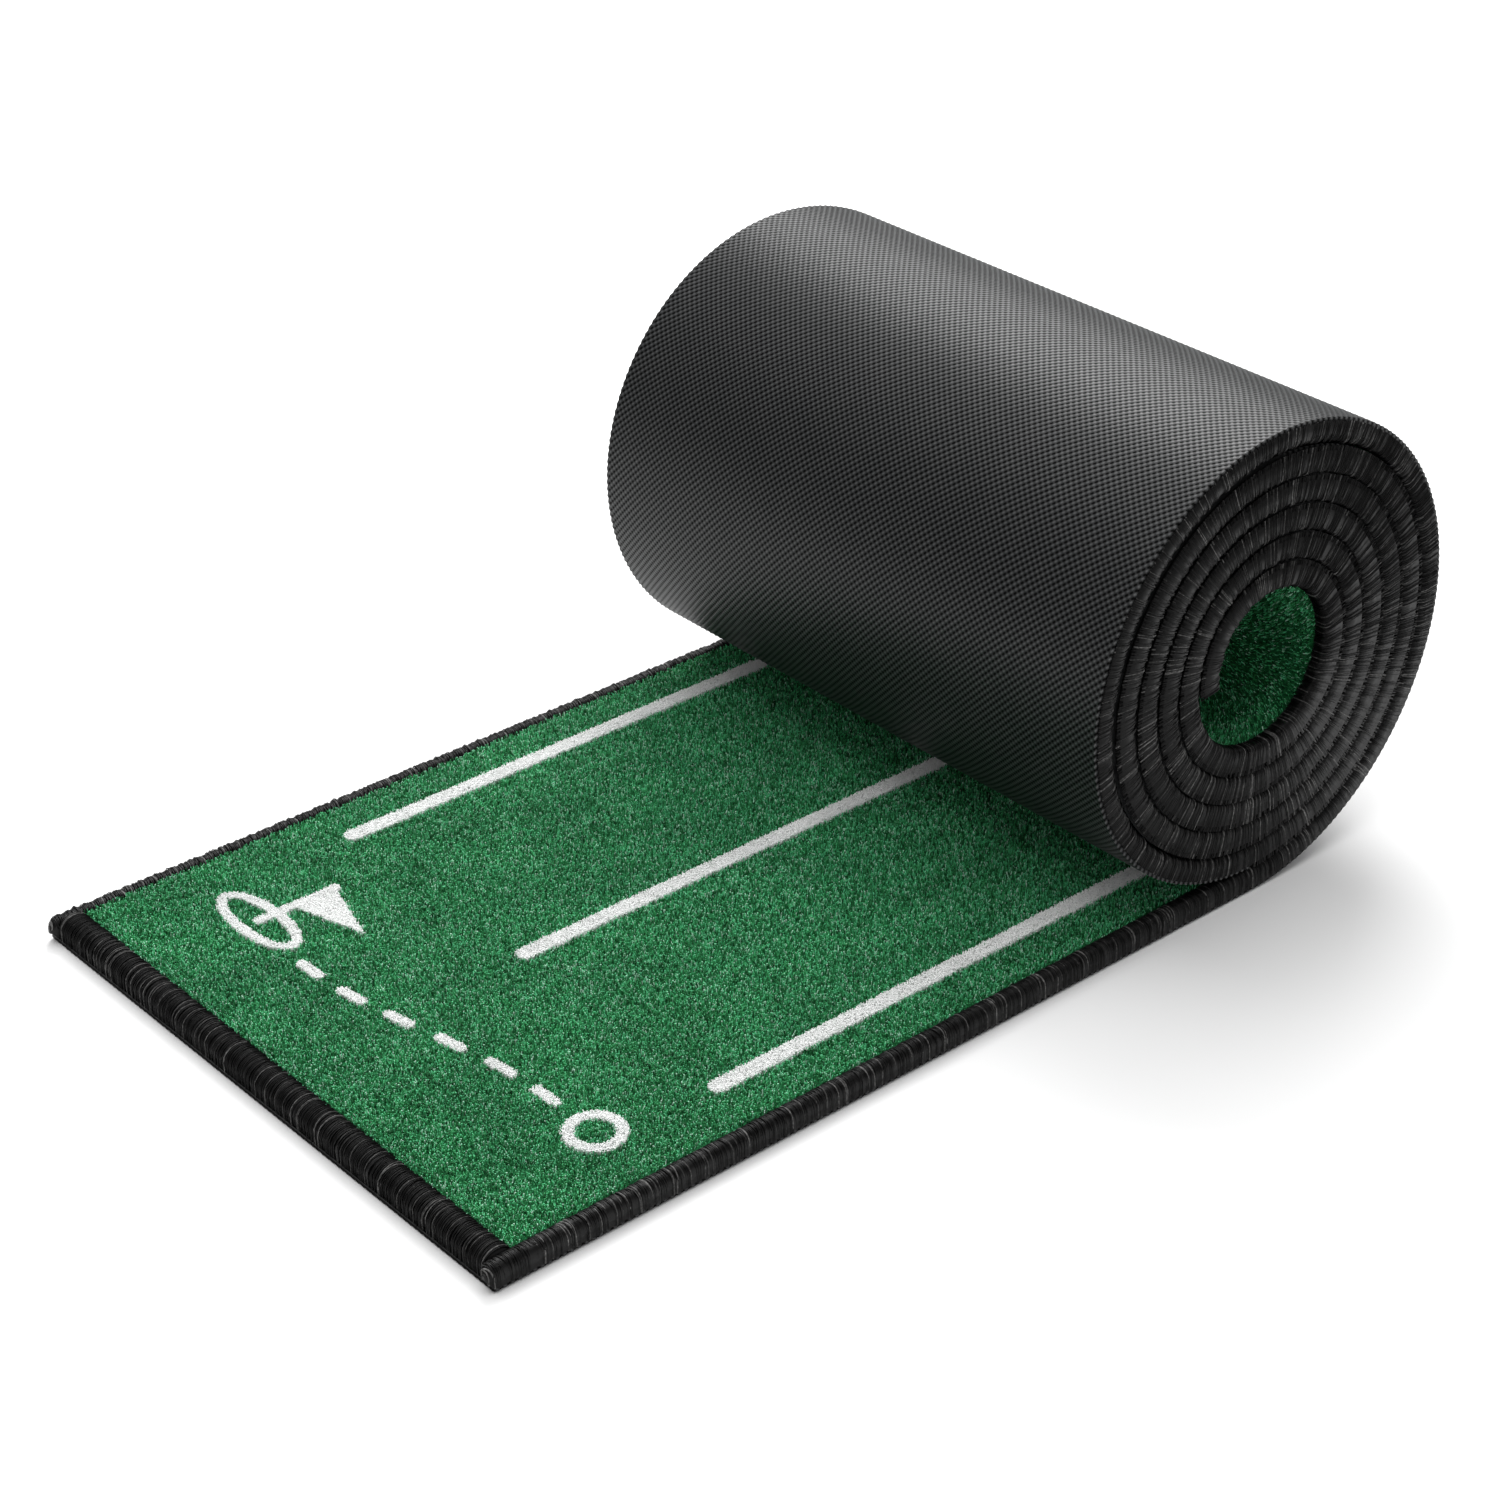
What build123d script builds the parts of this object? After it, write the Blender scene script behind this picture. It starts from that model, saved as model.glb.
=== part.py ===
"""Practice putting mat, part unrolled: a long strip of putting turf on a rubber backing, with
whipped (serged) yarn round its edges, white yarn guide lines and a white yarn pictogram.

The mat lies flat at the front and winds up at the back into a roll that stands on it, turf inside.
The roll is a two-centre spiral: half-turns of falling radius, tangent to each other. The roll's
first half-turn is cut at bend lines into short strips, each its own body, so that the mat can
unroll: each bend line is a hinge on the rubber's outer face, and the strips open one by one. A
strip is a flat plate, tangent to the spiral at its middle, with all layers at their full thickness,
so that it clears the coil inside it and an opened strip lies flat on the floor.

Row frame: X across the mat, Y from the flat front edge to the roll, Z up, in millimetres, origin on
the floor at the middle of the whole object's footprint.

Heights are measured from the mat's underside, towards the turf. A place along the mat is one number:
below zero, millimetres in front of the line where the roll leaves the floor; above zero, degrees of
roll from that line.
"""

from build123d import *
import math
import os

# Driving dimensions, mm and degrees.
MAT_WIDTH = 250.0
FLAT_LENGTH = 329.5
ROLL_RADIUS = 89.0
WRAP_PITCH = 10.0
ROLL_END = 2078.0

RESTING_WIDTH = 24.0
RESTING_DEPTH = 1.2
RESTING_PROUD = 0.01

RUBBER_TOP = 1.8
CLOTH_TOP = 3.0
PILE_TOP = 9.3
SERGING_TOP = 9.7

SERGING_WIDTH = 6.2
SERGING_TOP_CORNER = 3.2
SERGING_FOOT_CORNER = 1.8
END_SERGING_LENGTH = 11.5
END_SERGING_CORNER = 3.4
FRONT_CROWN = 10.4
EAR_LENGTH = 2.0
RUBBER_INSET = 0.4
CLOTH_TUCK = 2.0

GUIDE_WIDTH = 6.4
GUIDE_SPACING = 99.0
GUIDE_START = 104.6
GUIDE_END = 1620.0
GUIDE_END_ROUND = 3.0

BEND_STEP = 22.5
FIRST_BEND = BEND_STEP / 2
STRIP_COUNT = 7
BEND_GAP = 0.3

# The pictogram's strokes, measured from the mat's middle and front edge.
STROKE = 3.8
FLAG_X, FLAG_FOOT, FLAG_TIP = -75.0, 50.0, 85.0
PENNANT_LENGTH, PENNANT_DEPTH = 28.0, 17.5
HOLE_HALF_WIDTH, HOLE_HALF_DEPTH = 22.0, 9.0
BALL_X, BALL_Y, BALL_RADIUS = 92.0, 64.0, 10.5
DASH_COUNT, DASH_LENGTH = 6, 13.0
DASH_FIRST, DASH_PITCH = -39.0, 21.3
DASH_Y, DASH_SWING = 56.0, 7.8

# Worked out from the driving dimensions.
HALF_WIDTH = MAT_WIDTH / 2
PILE_HALF = HALF_WIDTH - SERGING_WIDTH
RUBBER_HALF = HALF_WIDTH - RUBBER_INSET
CLOTH_HALF = PILE_HALF + CLOTH_TUCK
ROLL_Y = (FLAT_LENGTH - ROLL_RADIUS + EAR_LENGTH) / 2
FRONT_Y = ROLL_Y - FLAT_LENGTH
HALF_GAP = math.degrees(BEND_GAP / 2 / ROLL_RADIUS)
LAST_BEND = FIRST_BEND + STRIP_COUNT * BEND_STEP
BOX_ON_FACE = (Align.CENTER, Align.CENTER, Align.MIN)


def half_turn(k):
    """Height of the centre and radius of the underside for half-turn k of the spiral."""
    return ROLL_RADIUS + (k % 2) * WRAP_PITCH / 2, ROLL_RADIUS - k * WRAP_PITCH / 2


def spans(start, stop):
    """The stretches between two places on the curved roll that each lie on one half-turn."""
    first, last = int(start // 180), math.ceil(stop / 180)
    return [(k, max(start, 180 * k), min(stop, 180 * (k + 1))) for k in range(first, last)]


def plate_point(height, place):
    """A point of the flat run or of a plate, or of the end of the last plate at the roll's top."""
    if place < 0:
        return ROLL_Y + place, height
    from_tangent = place - BEND_STEP * round(place / BEND_STEP)
    reach = (ROLL_RADIUS - height) / math.cos(math.radians(from_tangent))
    angle = math.radians(place)
    return ROLL_Y + reach * math.sin(angle), ROLL_RADIUS - reach * math.cos(angle)


def rail(height, start, stop):
    """The edges of the mat's side view at one height between two places, in the YZ plane."""
    flat_stop = min(stop, 180)
    edges = []
    if start < 180:
        edges.append(Line(plate_point(height, start), plate_point(height, flat_stop)))
    if stop > 180:
        for k, begin, end in spans(max(start, 180), stop):
            centre_z, radius = half_turn(k)
            edges.append(CenterArc((ROLL_Y, centre_z), radius - height, begin - 90, end - begin))
    return edges


def side_view(low, high, start, stop):
    """The face between two heights and two places along the mat, in the YZ plane."""
    under, over = rail(low, start, stop), rail(high, start, stop)
    ends = [Line(under[0] @ 0, over[0] @ 0), Line(under[-1] @ 1, over[-1] @ 1)]
    return Plane.YZ * make_face([*under, *over, *ends])


def band(face, left, right):
    """A side-view face drawn out across the mat from x = left to x = right."""
    return Pos(left, 0, 0) * extrude(face, amount=right - left, dir=(1, 0, 0))


def rubber(start, stop):
    """The backing sheet."""
    return band(side_view(0, RUBBER_TOP, start, stop), -RUBBER_HALF, RUBBER_HALF)


def cloth(start, stop):
    """The woven cloth that the tufts are anchored in. Its edges are tucked into the serging."""
    return band(side_view(RUBBER_TOP, CLOTH_TOP, start, stop), -CLOTH_HALF, CLOTH_HALF)


def guide(x, start, stop):
    """One white guide line, which stands on the cloth in place of green tufts."""
    face = side_view(CLOTH_TOP, PILE_TOP, start, stop)
    return band(face, x - GUIDE_WIDTH / 2, x + GUIDE_WIDTH / 2)


def guides(start, stop):
    """The three guide lines over a stretch, by name."""
    return {name: guide(x, start, stop) for name, x in GUIDES.items()}


def rounded_start(line):
    """A guide line on the flat run, with the end nearest the front edge rounded off."""
    corners = line.edges().filter_by(Axis.Z).group_by(Axis.Y)[0]
    return fillet(corners, GUIDE_END_ROUND)


def pile(start, stop, lines):
    """The green pile between the side sergings, with room for the guide lines."""
    solid = band(side_view(CLOTH_TOP, PILE_TOP, start, stop), -PILE_HALF, PILE_HALF)
    for line in lines.values():
        solid -= line
    return solid


def serging_section(side):
    """The side serging's section in the plane of X and height, notched over the cloth's edge."""
    inner, outer, tuck = PILE_HALF, HALF_WIDTH, CLOTH_HALF
    low, high, top_r, foot_r = RUBBER_TOP, SERGING_TOP, SERGING_TOP_CORNER, SERGING_FOOT_CORNER
    outline = [
        Line((tuck, low), (outer - foot_r, low)),
        CenterArc((outer - foot_r, low + foot_r), foot_r, -90, 90),
        Line((outer, low + foot_r), (outer, high - top_r)),
        CenterArc((outer - top_r, high - top_r), top_r, 0, 90),
        Polyline(
            (outer - top_r, high), (inner, high), (inner, CLOTH_TOP), (tuck, CLOTH_TOP), (tuck, low)
        ),
    ]
    face = make_face(outline)
    return face if side > 0 else mirror(face, about=Plane.YZ)


def side_serging(side, start, stop):
    """The whipped yarn along one side of the mat, between two places."""
    section = serging_section(side)
    pieces = []
    if start < 180:
        pieces.append(straight_serging(section, start, min(stop, 180)))
    if stop > 180:
        for k, begin, end in spans(max(start, 180), stop):
            centre_z, radius = half_turn(k)
            phi = math.radians(begin)
            foot = (0, ROLL_Y + radius * math.sin(phi), centre_z - radius * math.cos(phi))
            along = (0, -math.cos(phi), -math.sin(phi))
            stand = Plane(origin=foot, x_dir=(1, 0, 0), z_dir=along)
            axle = Axis((0, ROLL_Y, centre_z), (1, 0, 0))
            pieces.append(revolve(stand * section, axis=axle, revolution_arc=end - begin))
    return Part() + pieces


def straight_serging(section, start, stop):
    """A straight length of side serging, cut square to the mat or along its bend lines."""
    phi = math.radians(BEND_STEP * round(max(start + stop, 0) / 2 / BEND_STEP))
    along = (0, math.cos(phi), math.sin(phi))
    foot = (0, ROLL_Y + ROLL_RADIUS * math.sin(phi), ROLL_RADIUS * (1 - math.cos(phi)))
    stand = Plane(origin=foot, x_dir=(1, 0, 0), z_dir=tuple(-v for v in along))
    reach = FLAT_LENGTH + EAR_LENGTH
    bar = extrude(stand * section, amount=reach, dir=along)
    bar += extrude(stand * section, amount=reach, dir=tuple(-v for v in along))
    cutter = band(side_view(0, SERGING_TOP, start, stop), -MAT_WIDTH, MAT_WIDTH)
    return bar & cutter


def front_serging():
    """The thicker whipped yarn across the front edge, between the side sergings."""
    r, low, back = END_SERGING_CORNER, RUBBER_TOP, FRONT_Y + END_SERGING_LENGTH
    crown = (FRONT_Y + 0.55 * END_SERGING_LENGTH, FRONT_CROWN)
    outline = [
        Line((back, low), (FRONT_Y + r, low)),
        CenterArc((FRONT_Y + r, low + r), r, 180, 90),
        Line((FRONT_Y, low + r), (FRONT_Y, SERGING_TOP - r)),
        CenterArc((FRONT_Y + r, SERGING_TOP - r), r, 90, 90),
        ThreePointArc((FRONT_Y + r, SERGING_TOP), crown, (back, PILE_TOP)),
        Line((back, PILE_TOP), (back, low)),
    ]
    return band(Plane.YZ * make_face(outline), -PILE_HALF, PILE_HALF)


def end_serging(start):
    """The same yarn across the mat's inner end, which lies inside the roll."""
    face = side_view(RUBBER_TOP, SERGING_TOP, start, ROLL_END)
    tip = (Plane.YZ * rail(0, start, ROLL_END)[-1]) @ 1
    corners = face.vertices().sort_by_distance(tip)[:2]
    return band(fillet(corners, radius=END_SERGING_CORNER), -PILE_HALF, PILE_HALF)


def inlay(sketch):
    """A pictogram stroke drawn from above, standing on the cloth to the top of the pile."""
    return Pos(0, FRONT_Y, CLOTH_TOP) * extrude(sketch, amount=PILE_TOP - CLOTH_TOP)


def flag():
    """Flagstick and pennant."""
    middle = (FLAG_FOOT + FLAG_TIP) / 2
    stick = Pos(FLAG_X, middle) * SlotOverall(FLAG_TIP - FLAG_FOOT, STROKE, rotation=90)
    hoist = FLAG_X + STROKE / 2
    top = FLAG_TIP - STROKE / 2
    corners = [(hoist, top), (hoist, top - PENNANT_DEPTH)]
    corners.append((hoist + PENNANT_LENGTH, top - PENNANT_DEPTH / 2))
    return stick + make_face(Polyline(*corners, close=True))


def hole_ring():
    """The hole round the flagstick's foot, seen in perspective, broken where the stick crosses."""
    outer = Ellipse(HOLE_HALF_WIDTH, HOLE_HALF_DEPTH)
    inner = Ellipse(HOLE_HALF_WIDTH - STROKE, HOLE_HALF_DEPTH - STROKE)
    return Pos(FLAG_X, FLAG_FOOT + STROKE / 2) * (outer - inner) - flag()


def putt_path():
    """Dashes that run in a gentle break from the ball to the hole."""
    dashes = []
    for n in range(DASH_COUNT):
        x = DASH_FIRST + n * DASH_PITCH
        phase = math.pi * (n / (DASH_COUNT - 1) - 0.5)
        tilt = math.degrees(math.atan2(DASH_SWING * math.cos(phase) * math.pi, DASH_PITCH * DASH_COUNT))
        dash = SlotOverall(DASH_LENGTH, STROKE, rotation=tilt)
        dashes.append(Pos(x, DASH_Y + DASH_SWING * math.sin(phase)) * dash)
    return Sketch() + dashes


def ball_ring():
    """The ball."""
    return Pos(BALL_X, BALL_Y) * (Circle(BALL_RADIUS) - Circle(BALL_RADIUS - STROKE))


GUIDES = {"left": -GUIDE_SPACING, "centre": 0.0, "right": GUIDE_SPACING}
SIDES = {"left": -1, "right": 1}
MOTIF = {"flag": flag, "hole_ring": hole_ring, "putt_path": putt_path, "ball_ring": ball_ring}


def flat_run():
    """The flat front of the mat, up to the first bend line."""
    front, stop = -FLAT_LENGTH, FIRST_BEND - HALF_GAP
    pile_start = front + END_SERGING_LENGTH
    guide_start = front + GUIDE_START
    nodes = {"flat_rubber_backing": rubber(front, stop)}
    nodes["flat_primary_cloth"] = cloth(front + CLOTH_TUCK, stop)
    nodes["flat_front_serging"] = front_serging() - nodes["flat_primary_cloth"]
    for name, side in SIDES.items():
        nodes[f"flat_{name}_serging"] = side_serging(side, front - EAR_LENGTH, stop)
    lines = {name: rounded_start(line) for name, line in guides(guide_start, stop).items()}
    nodes |= {f"flat_{name}_guide_line": line for name, line in lines.items()}
    turf = pile(pile_start, stop, lines)
    for name, draw in MOTIF.items():
        nodes[f"motif_{name}"] = inlay(draw())
        turf -= nodes[f"motif_{name}"]
    nodes["flat_turf_pile"] = turf
    return nodes


def bend_strip(number):
    """One short strip of the outer half-turn, between two bend lines."""
    start = FIRST_BEND + (number - 1) * BEND_STEP + HALF_GAP
    stop = FIRST_BEND + number * BEND_STEP - HALF_GAP
    name = f"bend{number}"
    lines = guides(start, stop)
    return {
        f"{name}_rubber_backing": rubber(start, stop),
        f"{name}_primary_cloth": cloth(start, stop),
        f"{name}_turf_pile": pile(start, stop, lines),
        f"{name}_side_sergings": Compound(
            children=[side_serging(side, start, stop) for side in SIDES.values()]
        ),
        f"{name}_guide_lines": Compound(children=list(lines.values())),
    }


def resting_flat():
    """Where the roll stands on the flat run, its weight presses it and the pile under it into a flat
    contact patch. This is the patch on the roll's side, sunk into the backing's outer face."""
    patch = Box(2 * RUBBER_HALF, RESTING_WIDTH, RESTING_DEPTH, align=BOX_ON_FACE)
    return Pos(0, ROLL_Y, WRAP_PITCH - RESTING_PROUD) * patch


def rolled_mat():
    """The rest of the roll, from the last bend line to the mat's inner end."""
    start = LAST_BEND + HALF_GAP
    end_radius = half_turn(int(ROLL_END // 180))[1] - CLOTH_TOP
    serging_start = ROLL_END - math.degrees(END_SERGING_LENGTH / end_radius)
    tuck_end = ROLL_END - math.degrees(CLOTH_TUCK / end_radius)
    lines = guides(start, GUIDE_END)
    nodes = {
        "roll_rubber_backing": rubber(start, ROLL_END) + resting_flat(),
        "roll_primary_cloth": cloth(start, tuck_end),
        "roll_turf_pile": pile(start, serging_start, lines),
    }
    nodes["roll_end_serging"] = end_serging(serging_start) - nodes["roll_primary_cloth"]
    for name, side in SIDES.items():
        nodes[f"roll_{name}_serging"] = side_serging(side, start, ROLL_END)
    nodes |= {f"roll_{name}_guide_line": line for name, line in lines.items()}
    return nodes


def main():
    os.makedirs("parts", exist_ok=True)
    nodes = flat_run() | rolled_mat()
    for number in range(1, STRIP_COUNT + 1):
        nodes |= bend_strip(number)
    for name, shape in nodes.items():
        shape.label = name
        export_step(shape, f"parts/{name}.step")
    print(len(nodes), "nodes")


main()
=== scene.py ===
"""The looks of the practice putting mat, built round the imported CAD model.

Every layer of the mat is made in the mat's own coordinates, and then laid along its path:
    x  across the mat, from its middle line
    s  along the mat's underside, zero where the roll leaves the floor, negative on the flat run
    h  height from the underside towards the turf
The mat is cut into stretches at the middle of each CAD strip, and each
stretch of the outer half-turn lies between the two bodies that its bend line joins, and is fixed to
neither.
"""

import math

import bpy
import numpy as np
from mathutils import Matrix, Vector


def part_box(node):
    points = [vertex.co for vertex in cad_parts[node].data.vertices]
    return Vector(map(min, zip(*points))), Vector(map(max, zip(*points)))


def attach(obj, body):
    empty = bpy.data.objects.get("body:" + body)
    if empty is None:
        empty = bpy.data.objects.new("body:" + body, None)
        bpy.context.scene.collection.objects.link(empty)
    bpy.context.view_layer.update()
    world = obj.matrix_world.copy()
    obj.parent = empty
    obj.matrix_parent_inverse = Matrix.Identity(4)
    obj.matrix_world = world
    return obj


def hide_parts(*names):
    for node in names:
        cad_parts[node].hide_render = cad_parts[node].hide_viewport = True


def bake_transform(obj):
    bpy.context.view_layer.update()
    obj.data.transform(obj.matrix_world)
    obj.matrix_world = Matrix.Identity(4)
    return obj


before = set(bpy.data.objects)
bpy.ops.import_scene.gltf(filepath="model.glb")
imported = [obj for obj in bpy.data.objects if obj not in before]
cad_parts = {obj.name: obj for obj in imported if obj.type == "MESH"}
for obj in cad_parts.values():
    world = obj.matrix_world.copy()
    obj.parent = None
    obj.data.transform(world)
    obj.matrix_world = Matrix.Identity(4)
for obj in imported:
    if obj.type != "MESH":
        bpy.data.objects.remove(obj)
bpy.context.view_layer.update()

MM = 0.001

# The mat's layers and turns, as in the CAD model.
WRAP_PITCH = 10.0 * MM
RUBBER_TOP = 1.8 * MM
CLOTH_TOP = 3.0 * MM
PILE_TOP = 9.3 * MM
BEAD_TOP = 9.6 * MM
FRONT_TOP = 10.2 * MM
ROLL_END_DEG = 2078.0
GUIDE_END_DEG = 1620.0
BEND_STEP = 22.5
BEND_COUNT = 8

# Places that come from the frame.
FRONT_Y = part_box("flat_rubber_backing")[0].y
TURF_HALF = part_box("flat_turf_pile")[1].x
CLOTH_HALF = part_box("flat_primary_cloth")[1].x
BEAD_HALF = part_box("flat_right_serging")[1].x
EAR_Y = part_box("flat_right_serging")[0].y
FRONT_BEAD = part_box("flat_front_serging")[1].y - FRONT_Y
ROLL_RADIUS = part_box("roll_rubber_backing")[1].z / 2
ROLL_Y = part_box("bend4_rubber_backing")[1].y - ROLL_RADIUS
GUIDE_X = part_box("flat_right_guide_line")[1].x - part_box("flat_centre_guide_line")[1].x
GUIDE_WIDTH = 2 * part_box("flat_centre_guide_line")[1].x
GUIDE_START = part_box("flat_centre_guide_line")[0].y - FRONT_Y

# The rubber ends under the whipping, and deeper under it where the turns of the roll press together.
RUBBER_HALF = BEAD_HALF - 0.7 * MM
COIL_RUBBER_HALF = BEAD_HALF - 2.6 * MM
FLAT_LENGTH = ROLL_Y - FRONT_Y

CHAIN = ["flat_run", *[f"bend{k}" for k in range(1, BEND_COUNT)], "coil"]


# ---------------------------------------------------------------- the mat's path

HALF_TURNS = int(ROLL_END_DEG // 180) + 1
TURN_RADIUS = ROLL_RADIUS - np.arange(HALF_TURNS) * WRAP_PITCH / 2
TURN_CENTRE = ROLL_RADIUS + (np.arange(HALF_TURNS) % 2) * WRAP_PITCH / 2
TURN_START = np.concatenate([[0.0], np.cumsum(np.pi * TURN_RADIUS)])[:-1]


def along(degrees):
    """The distance along the underside from the foot of the roll to an angle of the roll."""
    j = min(int(degrees // 180), HALF_TURNS - 1)
    return float(TURN_START[j] + math.radians(degrees - 180 * j) * TURN_RADIUS[j])


def lay(x, s, h):
    """Points in the CAD model's frame, from mat coordinates."""
    x, s, h = np.broadcast_arrays(np.asarray(x, float), np.asarray(s, float), np.asarray(h, float))
    j = np.clip(np.searchsorted(TURN_START, s, side="right") - 1, 0, HALF_TURNS - 1)
    angle = np.pi * j + (s - TURN_START[j]) / TURN_RADIUS[j]
    reach = TURN_RADIUS[j] - h
    y = np.where(s < 0, ROLL_Y + s, ROLL_Y + reach * np.sin(angle))
    z = np.where(s < 0, h, TURN_CENTRE[j] - reach * np.cos(angle))
    return np.stack([x, y, z], axis=-1)


ROLL_END = along(ROLL_END_DEG)
GUIDE_END = along(GUIDE_END_DEG)


# ---------------------------------------------------------------- materials

def new_material(name, roughness, specular=0.5):
    """A material with a principled shader, and its node tree."""
    mat = bpy.data.materials.new(name)
    mat.use_nodes = True
    shader = mat.node_tree.nodes["Principled BSDF"]
    shader.inputs["Roughness"].default_value = roughness
    shader.inputs["Specular IOR Level"].default_value = specular
    return mat, mat.node_tree, shader


def noise(tree, scale, detail=2.0, stretch=(1, 1, 1)):
    """A noise texture in object space, and its factor output."""
    place = tree.nodes.new("ShaderNodeTexCoord")
    mapping = tree.nodes.new("ShaderNodeMapping")
    mapping.inputs["Scale"].default_value = stretch
    node = tree.nodes.new("ShaderNodeTexNoise")
    node.inputs["Scale"].default_value = scale
    node.inputs["Detail"].default_value = detail
    tree.links.new(place.outputs["Object"], mapping.inputs["Vector"])
    tree.links.new(mapping.outputs["Vector"], node.inputs["Vector"])
    return node.outputs["Fac"]


def ramp(tree, factor, *stops):
    """A colour ramp over (position, (r, g, b)) stops."""
    node = tree.nodes.new("ShaderNodeValToRGB")
    elements = node.color_ramp.elements
    while len(elements) < len(stops):
        elements.new(0.5)
    for element, (position, colour) in zip(elements, stops):
        element.position = position
        element.color = (*colour, 1)
    tree.links.new(factor, node.inputs["Fac"])
    return node.outputs["Color"]


def multiply(tree, a, b):
    """Two colours multiplied."""
    node = tree.nodes.new("ShaderNodeMix")
    node.data_type = "RGBA"
    node.blend_type = "MULTIPLY"
    node.inputs["Factor"].default_value = 1.0
    tree.links.new(a, node.inputs[6])
    tree.links.new(b, node.inputs[7])
    return node.outputs[2]


def span(tree, factor, start, low, high):
    """A factor from start to 1, spread over the values from low to high."""
    node = tree.nodes.new("ShaderNodeMapRange")
    node.inputs["From Min"].default_value = start
    node.inputs["To Min"].default_value = low
    node.inputs["To Max"].default_value = high
    tree.links.new(factor, node.inputs["Value"])
    return node.outputs["Result"]


def fibre_material(name, stops, roughness, specular, patch_scale, patches):
    """Yarn or pile: each fibre has its own shade, dimmed in patches of the given noise scale."""
    mat, tree, shader = new_material(name, roughness, specular)
    island = tree.nodes.new("ShaderNodeNewGeometry").outputs["Random Per Island"]
    shade = ramp(tree, island, *stops)
    cast = ramp(tree, noise(tree, patch_scale, 3), *patches)
    tree.links.new(multiply(tree, shade, cast), shader.inputs["Base Color"])
    return mat


# The turf's shades differ at random from fibre to fibre; the lightest, near white, are painted glints on
# single fibres.
TURF_STOPS = (
    (0.0, (0.006, 0.060, 0.018)),
    (0.28, (0.036, 0.230, 0.080)),
    (0.60, (0.085, 0.520, 0.200)),
    (0.86, (0.170, 0.780, 0.400)),
    (1.0, (0.700, 0.960, 0.820)),
)
WHITE_STOPS = ((0.0, (0.86, 0.90, 0.87)), (0.3, (0.96, 0.97, 0.96)), (1.0, (0.99, 0.99, 0.99)))
# The yarn is near black; its few much lighter strands are painted highlights on the whipping.
YARN_STOPS = (
    (0.0, (0.002, 0.002, 0.002)),
    (0.50, (0.004, 0.004, 0.004)),
    (0.84, (0.016, 0.016, 0.016)),
    (1.0, (0.230, 0.227, 0.222)),
)
TURF_PATCHES = ((0.35, (0.78,) * 3), (0.65, (1.0,) * 3))
WHITE_PATCHES = ((0.35, (0.92,) * 3), (0.65, (1.0,) * 3))
# The yarn's patches dim it at random, and so cut its light strands into short painted highlight streaks.
YARN_PATCHES = ((0.40, (0.30,) * 3), (0.72, (1.0,) * 3))
TURF = fibre_material("turf_fibre", TURF_STOPS, 0.6, 0.2, 45, TURF_PATCHES)
WHITE = fibre_material("guide_fibre", WHITE_STOPS, 0.7, 0.35, 60, WHITE_PATCHES)
YARN = fibre_material("serging_yarn", YARN_STOPS, 0.42, 0.20, 850, YARN_PATCHES)


def ground_material():
    """The mass of fibres below the tips of the pile."""
    mat, tree, shader = new_material("turf_ground", 0.8, 0.1)
    colour = ramp(tree, noise(tree, 900, 4), (0.35, (0.004, 0.050, 0.016)), (0.7, (0.020, 0.190, 0.062)))
    tree.links.new(colour, shader.inputs["Base Color"])
    return mat


def cloth_material():
    """Coarse woven primary backing."""
    mat, tree, shader = new_material("primary_cloth", 0.85, 0.1)
    weave = noise(tree, 700, 3, (1, 1, 4))
    colour = ramp(tree, weave, (0.3, (0.004, 0.007, 0.004)), (0.7, (0.016, 0.028, 0.016)))
    tree.links.new(colour, shader.inputs["Base Color"])
    return mat


def rubber_material():
    """Moulded rubber: near black and dusty, glossier on the tops of its studs than in the valleys, with a
    painted highlight on the stud tops and painted shade in the valleys.
    """
    mat, tree, shader = new_material("moulded_rubber", 0.46, 0.22)
    dust = ramp(tree, noise(tree, 120, 5), (0.3, (0.80, 0.82, 0.84)), (0.7, (1.0, 1.0, 1.0)))
    painted_stud_light = tree.nodes.new("ShaderNodeAttribute")
    painted_stud_light.attribute_name = "painted_stud_light"
    # Painted highlight and painted shade: the base colour is lighter on the stud tops and near black in the
    # valleys.
    tops = ramp(tree, painted_stud_light.outputs["Fac"], (0.35, (0.002, 0.002, 0.002)), (0.9, (0.054, 0.056, 0.057)))
    tree.links.new(multiply(tree, tops, dust), shader.inputs["Base Color"])
    gleam = span(tree, painted_stud_light.outputs["Fac"], 0.3, 0.02, 0.56)
    tree.links.new(gleam, shader.inputs["Specular IOR Level"])
    tree.links.new(span(tree, noise(tree, 300, 3), 0.0, 0.36, 0.48), shader.inputs["Roughness"])
    return mat


GROUND, CLOTH, RUBBER = ground_material(), cloth_material(), rubber_material()


# ---------------------------------------------------------------- mesh building

PLAIN_STEP = 2 * MM
THIRD_OF_TURN = 2 * math.pi / 3


def make_object(name, verts, faces, material, smooth=True):
    """An object from its vertices and a list of (faces, corners) arrays."""
    mesh = bpy.data.meshes.new(name)
    flat = [np.asarray(f, np.int32) for f in faces if len(f)]
    loops = np.concatenate([f.ravel() for f in flat])
    sizes = np.concatenate([np.full(len(f), f.shape[1], np.int32) for f in flat])
    mesh.vertices.add(len(verts))
    mesh.vertices.foreach_set("co", np.asarray(verts, np.float32).ravel())
    mesh.loops.add(len(loops))
    mesh.loops.foreach_set("vertex_index", loops)
    mesh.polygons.add(len(sizes))
    starts = np.concatenate([[0], np.cumsum(sizes)[:-1]]).astype(np.int32)
    mesh.polygons.foreach_set("loop_start", starts)
    mesh.polygons.foreach_set("use_smooth", np.full(len(sizes), smooth))
    mesh.update(calc_edges=True)
    mesh.materials.append(material)
    obj = bpy.data.objects.new(name, mesh)
    bpy.context.scene.collection.objects.link(obj)
    return obj


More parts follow.
